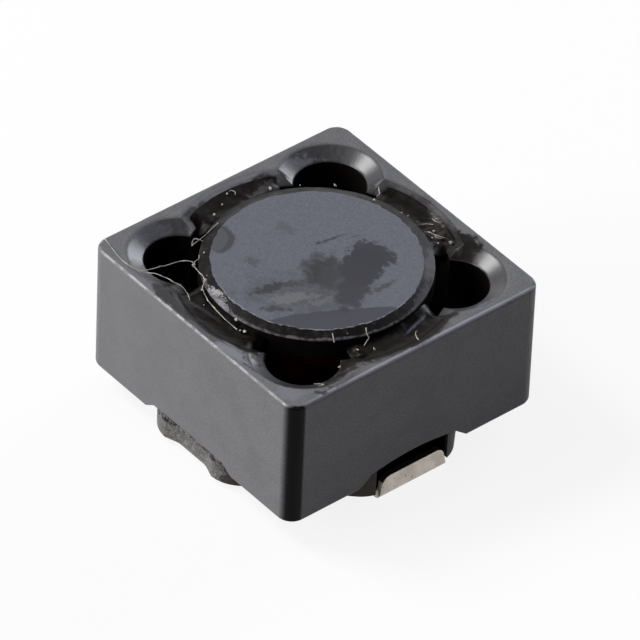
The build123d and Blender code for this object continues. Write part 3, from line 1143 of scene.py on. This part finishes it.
@dataclass
class MouldedBase:
    """Moulded octagonal plate with a lug in each of the ring's cut-outs and a pocket at each terminal."""

    material: Material
    thickness: float = 0.435
    diagonal: float = 6.82
    corner_radius: float = 0.90
    clearance: float = 0.05
    bore_radius: float = BORE_RADIUS
    lug_sink: float = 0.10
    lug_reach: float = 0.40
    recess_half: float = 0.62
    recess_depth: float = 0.10
    recess_slant: float = 0.14
    recess_round: float = 0.5
    pocket_half: float = 1.05
    pocket_inner: float = 2.35
    pocket_floor: float = 0.15
    pocket_round: float = 0.10
    wall_inner: float = 3.50
    hole_span: tuple[float, float] = (2.05, 2.20)
    hole_half: float = 0.60
    hole_depth: float = 0.16
    edge_round: float = 0.05

    def __post_init__(self) -> None:
        """Reads the base's own box from the frame."""
        self.low, self.high = node_box("base")
        self.seat = self.low.z + self.thickness

    def column(self, height: float) -> Piece:
        """An octagonal block with the base's rounded corners, from the base's bottom up.

        Args:
            height: how tall the block is.
        """
        flat = self.high.y
        short = self.diagonal / math.sqrt(2) - flat
        corners = []
        for angle in QUARTER_TURNS:
            for across in (-short, short):
                point = turned(flat, across, 0, angle)
                corners.append((point.x, point.y, self.corner_radius))
        outline = [Vector((x, y, self.low.z)) for x, y in rounded(corners, closed=True, steps=8)]
        return prism("base", outline, Vector((0, 0, height)))

    def lug(self, angle: float) -> Piece:
        """The lug that fills one cut-out of the ring, short of it by the clearance."""
        points = CutOut().outline(angle, self.lug_sink, self.clearance)
        inner = self.bore_radius - self.lug_reach
        outline = [turned(inner, across, self.seat + up, angle) for across, up in points]
        lug = prism("lug", outline, turned(self.high.y + 0.5 - inner, 0, 0, angle))
        combine(lug, self.column(self.high.z), "INTERSECT")
        return lug

    def build(self) -> Piece:
        """Models the base."""
        body = self.column(self.thickness)
        for angle in QUARTER_TURNS:
            combine(body, self.lug(angle), "UNION")
        profile = [Vector(p) for p in (
            (0.0, self.seat), (self.bore_radius, self.seat),
            (self.bore_radius, self.high.z + 1), (0.0, self.high.z + 1))]
        combine(body, turning("core", profile, 128))
        for angle in (90, 270):
            combine(body, self.recess(angle))
        for angle in HALF_TURNS:
            for tool in self.pocket(angle):
                combine(body, tool)
        soften(body, self.edge_round, 3, 40.0)
        return settle(body, "moulded_base", self.material, ("base",))

    def recess(self, angle: float) -> Piece:
        """A tool for the shallow hollow up the middle of a side without a terminal."""
        inner = self.high.x - self.recess_depth
        outer = self.high.x + self.recess_depth
        half, slant, bend = self.recess_half, self.recess_slant, self.recess_round
        corners = [(outer, -half - 3 * slant, 0.0), (outer, half + 3 * slant, 0.0)]
        corners += [(inner, half - slant, bend), (inner, slant - half, bend)]
        outline = [turned(x, y, self.low.z - 0.1, angle) for x, y in rounded(corners, closed=True)]
        return prism("recess", outline, Vector((0, 0, self.high.z)))

    def pocket(self, angle: float) -> list[Piece]:
        """Tools for the slot of a terminal's wall, the solder pocket and the anchor's hole."""
        outer, under = self.high.x + 0.5, self.low.z - 0.1
        floor = self.low.z + self.pocket_floor
        tools = []
        for name, start, end, half, bend, bottom, height in (
            ("slot", self.wall_inner, outer, self.pocket_half, 0.0, under, 2.0),
            ("well", self.pocket_inner, outer, self.pocket_half, self.pocket_round, floor, 2.0),
            ("hole", *self.hole_span, self.hole_half, 0.0, under, 0.1 + self.hole_depth),
        ):
            corners = [(start, half, bend), (start, -half, bend), (end, -half, 0.0), (end, half, 0.0)]
            outline = [turned(x, y, bottom, angle) for x, y in rounded(corners, closed=True)]
            tools.append(prism(name, outline, Vector((0, 0, height))))
        return tools


class Side(Enum):
    """The two ends of the part that have a terminal."""

    POS_X = 0
    NEG_X = 180


@dataclass
class Terminal:
    """Tinned strip: a foot on the board, a bent heel, an upright wall and an anchor tab."""

    material: Material
    side: Side
    foot: float = 1.60
    thickness: float = 0.15
    height: float = 0.59
    half_foot: float = 1.00
    half_top: float = 0.86
    heel_round: float = 0.12
    inner_round: float = 0.03
    corner_round: float = 0.24
    anchor_half: float = 0.60
    anchor_height: float = 0.16
    edge_round: float = 0.055

    def build(self) -> Piece:
        """Models the terminal."""
        node = f"terminal_{self.side.name.lower()}"
        outer = node_box("terminal_pos_x")[1].x
        inner = outer - self.thickness
        start = outer - self.foot
        angle = self.side.value
        profile = rounded([
            (start, 0.0, 0.0), (outer, 0.0, self.heel_round), (outer, self.height, 0.0),
            (inner, self.height, 0.0), (inner, self.thickness, self.inner_round),
            (start, self.thickness, 0.0),
        ], closed=True, steps=8)
        wide = self.half_foot + 0.2
        body = prism(node, [turned(x, -wide, z, angle) for x, z in profile], turned(0, 2 * wide, 0, angle))
        front = rounded([
            (-self.half_foot, -0.001, 0.0), (self.half_foot, -0.001, 0.0),
            (self.half_top, self.height, self.corner_round), (-self.half_top, self.height, self.corner_round),
        ], closed=True, steps=10)
        outline = [turned(start - 0.1, across, up, angle) for across, up in front]
        mask = prism("front", outline, turned(self.foot + 0.2, 0, 0, angle))
        combine(body, mask, "INTERSECT")
        tab = block("tab", Vector((start, -self.anchor_half, self.thickness / 2)),
                    Vector((start + self.thickness, self.anchor_half, self.thickness + self.anchor_height)))
        tab.rotation_euler.z = math.radians(angle)
        place_mesh(tab)
        combine(body, tab, "UNION")
        soften(body, self.edge_round, 3, 30.0)
        return settle(body, f"tinned_{node}", self.material, (node,))


@dataclass
class AdhesiveBead:
    """Epoxy bead between the drum's upper flange and the ring, with a sunk skin and tapered ends."""

    material: Material
    node: str
    angle: float
    half_sweep: float = 25.0
    drum_radius: float = DRUM_RADIUS
    bore_radius: float = BORE_RADIUS
    spread: float = 0.28
    mouth_level: float = 3.815
    sag: float = 0.055
    lump: float = 0.035
    run_down: float = 0.20
    skin_steps: int = 14

    def build(self) -> Piece:
        """Models the bead."""
        self.low, self.high = node_box(self.node)
        inside = self.drum_radius - 0.01
        outside = self.bore_radius + self.spread
        dip, half = (inside + outside) / 2, (outside - inside) / 2
        outline = [(inside, self.low.z), (self.bore_radius + 0.005, self.low.z)]
        outline += [(self.bore_radius + 0.005, self.mouth_level), (outside + 0.004, self.high.z - 0.012)]
        for step in range(1, self.skin_steps + 1):
            radius = outside - (outside - inside) * step / self.skin_steps
            outline.append((radius, self.high.z - self.sag * (1 - ((radius - dip) / half) ** 2)))
        outline.append((inside, self.low.z))
        profile = [Vector(point) for point in outline]
        body = turning(self.node, profile, 72, self.angle - self.half_sweep, 2 * self.half_sweep)
        with editing(body):
            bpy.ops.mesh.select_all(action="SELECT")
            bpy.ops.mesh.fill_holes(sides=0)
        face_outwards(body)
        move_points(body, self.slumped)
        return settle(body, f"epoxy_{self.node}", self.material, (self.node,), 50.0)

    def slumped(self, point: Vector) -> Vector:
        """Moves a point of the bead's skin as the adhesive flowed: lumps, and ends that run down."""
        radius = math.hypot(point.x, point.y)
        turn = (math.degrees(math.atan2(point.y, point.x)) - self.angle + 180) % 360 - 180
        skin = max(0.0, min(1.0, (point.z - self.mouth_level + 0.1) / 0.15))
        lumps = noise.noise(point * 2.6 + Vector((0, 0, self.angle))) + 0.5 * noise.noise(point * 7.0)
        end = max(0.0, (abs(turn) - 0.72 * self.half_sweep) / (0.28 * self.half_sweep))
        free = max(0.0, 1 - abs(radius - self.drum_radius - 0.30) / 0.42)
        point.z -= skin * free * (self.lump * max(0.0, lumps + 0.2) + self.run_down * end ** 2)
        stretch = 1 + 0.16 * noise.noise(Vector((radius * 2.4, turn * 0.04, self.angle)))
        angle = math.radians(self.angle + turn * stretch)
        return Vector((radius * math.cos(angle), radius * math.sin(angle), point.z))


@dataclass
class Lint:
    """Cotton threads and crumbs of dust that lie on the part, where the photograph has them."""

    material: Material
    thread_radius: float = 0.011
    waver: float = 0.035
    head_room: float = 0.002
    threads: tuple[tuple[tuple[float, float, float], ...], ...] = (
        ((-3.58, -3.30, 4.05), (-3.10, -3.42, 4.06), (-2.66, -3.47, 4.06), (-2.24, -3.40, 4.06),
         (-1.97, -3.21, 4.08), (-1.74, -3.07, 4.08), (-1.41, -2.99, 4.05), (-1.25, -2.88, 3.97),
         (-0.99, -2.94, 3.95), (-0.83, -3.02, 3.95)),
        ((-2.24, -3.40, 4.05), (-2.12, -3.21, 4.07), (-2.00, -2.87, 4.08), (-1.94, -2.57, 4.09),
         (-1.89, -2.38, 4.09), (-1.70, -2.24, 4.10)),
        ((-1.70, -2.24, 4.10), (-1.56, -2.32, 4.06), (-1.27, -2.35, 4.10), (-1.04, -2.42, 4.12),
         (-0.90, -2.62, 4.02), (-0.43, -2.76, 3.97), (0.14, -2.81, 3.96), (0.60, -2.81, 3.95)),
        ((-1.78, -2.00, 4.11), (-1.66, -2.07, 4.10), (-1.70, -2.20, 4.10), (-1.56, -2.32, 4.06)),
        ((-2.42, -0.94, 4.12), (-2.31, -1.20, 4.12), (-2.26, -1.53, 4.09), (-2.18, -1.89, 4.08)),
        ((-2.10, -1.62, 4.12), (-2.30, -1.60, 4.08), (-2.36, -1.75, 4.06), (-2.18, -1.89, 4.06)),
        ((0.24, 2.79, 3.96), (0.33, 2.95, 3.98), (0.43, 3.08, 3.94)),
        ((0.33, 3.22, 3.96), (0.42, 3.30, 3.99), (0.47, 3.42, 3.98), (0.36, 3.40, 3.97)),
        ((0.59, 2.80, 3.97), (0.80, 2.84, 4.00), (0.97, 2.98, 3.96)),
        ((-1.35, 2.95, 3.95), (-1.25, 2.85, 4.00), (-1.09, 2.79, 3.96), (-1.12, 2.68, 3.96)),
        ((-3.28, 0.08, 3.97), (-3.22, 0.20, 4.02), (-3.10, 0.12, 3.96)),
        ((2.17, -1.33, 4.14), (2.27, -1.37, 4.12), (2.33, -1.40, 4.04)),
        ((2.47, -0.59, 4.14), (2.58, -0.70, 4.10), (2.66, -0.66, 4.02)),
        ((2.66, -0.66, 4.00), (2.72, -0.78, 3.97), (2.76, -0.88, 3.96)),
        ((3.10, 0.40, 3.97), (3.16, 0.25, 4.02), (3.30, 0.22, 4.00), (3.42, 0.16, 4.03)),
        ((3.18, -2.69, 4.06), (3.28, -2.56, 4.08), (3.38, -2.50, 4.06), (3.30, -2.66, 4.06)),
        ((0.55, 2.72, 3.97), (0.72, 2.88, 3.99), (0.86, 2.80, 3.97), (0.95, 2.91, 3.97)),
        ((0.28, 3.18, 3.97), (0.40, 3.10, 4.00), (0.52, 3.22, 3.98)),
    )
    crumb_sizes: tuple[float, ...] = (0.030, 0.045, 0.022, 0.036)
    crumbs: tuple[tuple[float, float, float], ...] = (
        (-1.78, -1.86, 4.12), (-1.62, -2.28, 4.07), (-1.27, -2.35, 4.09), (-1.04, -2.42, 4.11),
        (-1.12, -2.30, 4.11), (-0.90, -2.60, 3.99), (-0.52, -2.86, 3.94), (0.77, -2.71, 3.96),
        (0.67, -2.77, 3.95), (0.41, -2.67, 4.05), (2.36, -1.04, 4.12), (2.96, -0.75, 3.94),
        (2.77, -1.06, 3.94), (2.90, -1.70, 3.84), (2.63, -0.63, 3.99), (-3.25, 0.00, 3.96),
        (-3.03, -0.32, 3.94), (-2.81, 0.92, 3.94), (-2.35, 1.42, 4.10), (-1.86, 2.06, 4.10),
        (-1.06, 1.98, 4.15), (-0.90, 2.42, 4.11), (-0.15, 2.81, 3.95), (0.63, 2.94, 3.94),
        (0.78, 2.76, 3.95), (1.17, 2.99, 3.96), (-0.19, 2.66, 4.08), (-2.86, -0.69, 3.95),
        (0.42, -3.62, 0.86), (0.60, 2.62, 3.97), (0.95, 2.58, 3.97), (1.02, 2.74, 3.96),
    )

    def thread(self, points: tuple[tuple[float, float, float], ...]) -> Piece:
        """One thread along its points, a little thicker here and thinner there."""
        line = bpy.data.curves.new("thread", "CURVE")
        line.dimensions = "3D"
        line.bevel_depth = self.thread_radius
        line.bevel_resolution = 1
        line.use_fill_caps = True
        spline = line.splines.new("NURBS")
        spline.points.add(len(points) - 1)
        for knot, place in zip(spline.points, points):
            knot.co = (*place, 1.0)
            knot.radius = 1.0 + 0.6 * noise.noise(Vector(place) * 9)
        spline.order_u = 3
        spline.use_endpoint_u = True
        spline.resolution_u = 5
        piece = bpy.data.objects.new("thread", line)
        bpy.context.scene.collection.objects.link(piece)
        only(piece)
        bpy.ops.object.convert(target="MESH")
        move_points(piece, lambda point: point + drift(point * 5) * self.waver * 0.5
                    + drift(point * 16) * self.waver * 0.3)
        return piece

    def crumb(self, place: tuple[float, float, float], size: float) -> Piece:
        """One crumb of dust, knobbly and flattened."""
        bpy.ops.object.select_all(action="DESELECT")
        bpy.ops.mesh.primitive_ico_sphere_add(
            subdivisions=2, radius=size, location=place, scale=(1.0, 0.8, 0.6))
        piece = bpy.context.active_object
        place_mesh(piece)
        move_points(piece, lambda point: point + drift(point * 20) * size * 0.7)
        return piece

    def build(self) -> Piece:
        """Lays the threads and the crumbs, and joins them."""
        pieces = [self.thread(points) for points in self.threads]
        for index, place in enumerate(self.crumbs):
            pieces.append(self.crumb(place, self.crumb_sizes[index % len(self.crumb_sizes)]))
        only(pieces[0])
        for piece in pieces:
            piece.select_set(True)
        bpy.ops.object.join()
        top = node_box("drum_core")[1].z - self.head_room
        move_points(pieces[0], lambda point: Vector((point.x, point.y, min(point.z, top))))
        return settle(pieces[0], "lint", self.material, smooth=60.0)


# Studio


@dataclass
class Lamp:
    """A square softbox that looks at the part."""

    name: str
    toward: tuple[float, float, float]
    level: float
    size: float = 90.0
    tint: tuple[float, float, float] = (1.0, 1.0, 1.0)
    distance: float = 300.0

    def build(self) -> None:
        """Adds the lamp. Its level is how bright it alone makes a white face that looks at it."""
        way = Vector(self.toward).normalized()
        light = bpy.data.lights.new(self.name, "AREA")
        light.shape = "SQUARE"
        light.size = self.size * METRES
        light.energy = self.level * (math.pi * self.distance * METRES) ** 2
        light.color = self.tint
        lamp = bpy.data.objects.new(self.name, light)
        lamp.location = way * self.distance * METRES
        lamp.rotation_euler = way.to_track_quat("Z", "Y").to_euler()
        bpy.context.scene.collection.objects.link(lamp)


@dataclass
class Studio:
    """White paper, softboxes, a pale room and the camera."""

    paper: Material
    floor_size: float = 4000.0
    room_level: float = 0.13
    ceiling: float = 0.08
    wall_top: tuple[float, float] = (0.20, 0.45)
    back: tuple[float, float, float] = (0.5743, -0.4967, 0.6506)
    roll: float = 2.486
    distance: float = 196.95
    shift_right: float = 0.071
    shift_up: float = -1.273
    lens: float = 488.4

    def build(self) -> None:
        """Adds the floor, the lamps, the room and the camera."""
        bpy.ops.object.select_all(action="DESELECT")
        bpy.ops.mesh.primitive_plane_add(size=self.floor_size * METRES)
        floor = bpy.context.active_object
        floor.name = "paper"
        floor.data.materials.append(self.paper)
        for lamp in (
            Lamp("softbox_main", (-0.58, -0.31, 0.75), 0.60, 100.0),
            Lamp("softbox_far", (-0.156, 0.915, 0.373), 0.45, 150.0, (0.86, 0.92, 1.0)),
            Lamp("softbox_low", (-0.40, -0.85, 0.35), 0.80, 160.0, (1.0, 0.985, 0.965)),
        ):
            lamp.build()
        self.room()
        self.camera()

    def room(self) -> None:
        """White walls under a dark ceiling where the room is seen or mirrored, and a weak fill elsewhere."""
        world = bpy.data.worlds.new("pale_room")
        bpy.context.scene.world = world
        world.use_nodes = True
        tree = world.node_tree
        rays = add_node(tree, "ShaderNodeLightPath")
        seen = add_node(tree, "ShaderNodeMath", {
            0: rays.outputs["Is Camera Ray"], 1: rays.outputs["Is Glossy Ray"]}, operation="MAXIMUM")
        seen = add_node(tree, "ShaderNodeMath", {
            0: seen.outputs[0], 1: rays.outputs["Is Transmission Ray"]}, operation="MAXIMUM")
        way = add_node(tree, "ShaderNodeSeparateXYZ", {
            0: add_node(tree, "ShaderNodeTexCoord").outputs["Generated"]})
        wall = add_node(tree, "ShaderNodeMapRange", {
            "Value": way.outputs["Z"], "From Min": self.wall_top[0], "From Max": self.wall_top[1],
            "To Min": 1.0, "To Max": self.ceiling}, interpolation_type="SMOOTHSTEP")
        level = add_node(tree, "ShaderNodeMix", {
            0: seen.outputs[0], 2: self.room_level, 3: wall.outputs[0]})
        background = tree.nodes["Background"]
        background.inputs["Color"].default_value = shade(1.0)
        tree.links.new(level.outputs[0], background.inputs["Strength"])

    def camera(self) -> None:
        """The camera at the photograph's angle."""
        back = Vector(self.back).normalized()
        right = Vector((0, 0, 1)).cross(back).normalized()
        up = back.cross(right)
        roll = math.radians(self.roll)
        side = right * math.cos(roll) + up * math.sin(roll)
        upper = up * math.cos(roll) - right * math.sin(roll)
        aim = Vector((0, 0, node_box("shield_core")[1].z))
        place = aim + back * self.distance + side * self.shift_right + upper * self.shift_up
        data = bpy.data.cameras.new("camera")
        data.sensor_width = 36.0
        data.lens = self.lens
        data.clip_start, data.clip_end = 0.01, 20.0
        eye = bpy.data.objects.new("camera", data)
        turn = Matrix((side, upper, back)).transposed().to_4x4()
        eye.matrix_world = Matrix.Translation(place * METRES) @ turn
        bpy.context.scene.collection.objects.link(eye)
        bpy.context.scene.camera = eye


def dress_nodes(names: list[str], material: Material) -> None:
    """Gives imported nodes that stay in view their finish."""
    for name in names:
        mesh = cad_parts[name].data
        mesh.materials.clear()
        mesh.materials.append(material)
        LOG.info("%s: packed solid, %s", name, material.name)


def main() -> None:
    """Builds the part and the studio round it."""
    logging.basicConfig(level=logging.INFO, format="%(message)s")
    epoxy = CuredEpoxy().material()
    copper = EnamelledCopper().material()
    tin = MatteTin().material()
    ShieldRing(PressedFerrite().material()).build()
    Drum(GroundFerrite().material()).build()
    Coil(copper).build()
    MouldedBase(MouldedResin().material()).build()
    for side in Side:
        Terminal(tin, side).build()
    for name, angle in (("pos_x", 0), ("pos_y", 90), ("neg_x", 180), ("neg_y", 270)):
        AdhesiveBead(epoxy, f"adhesive_{name}", angle).build()
    Lint(CottonLint().material()).build()
    dress_nodes(["lead_wire_pos_x", "lead_wire_neg_x"], copper)
    dress_nodes(["solder_pos_x", "solder_neg_x"], FluxedSolder().material())
    dress_nodes(["drum_bond", "shield_bond_pos_y", "shield_bond_neg_y"], epoxy)
    Studio(StudioPaper().material()).build()
    bpy.context.scene.view_settings.view_transform = "Standard"


if __name__ == "__main__":
    main()
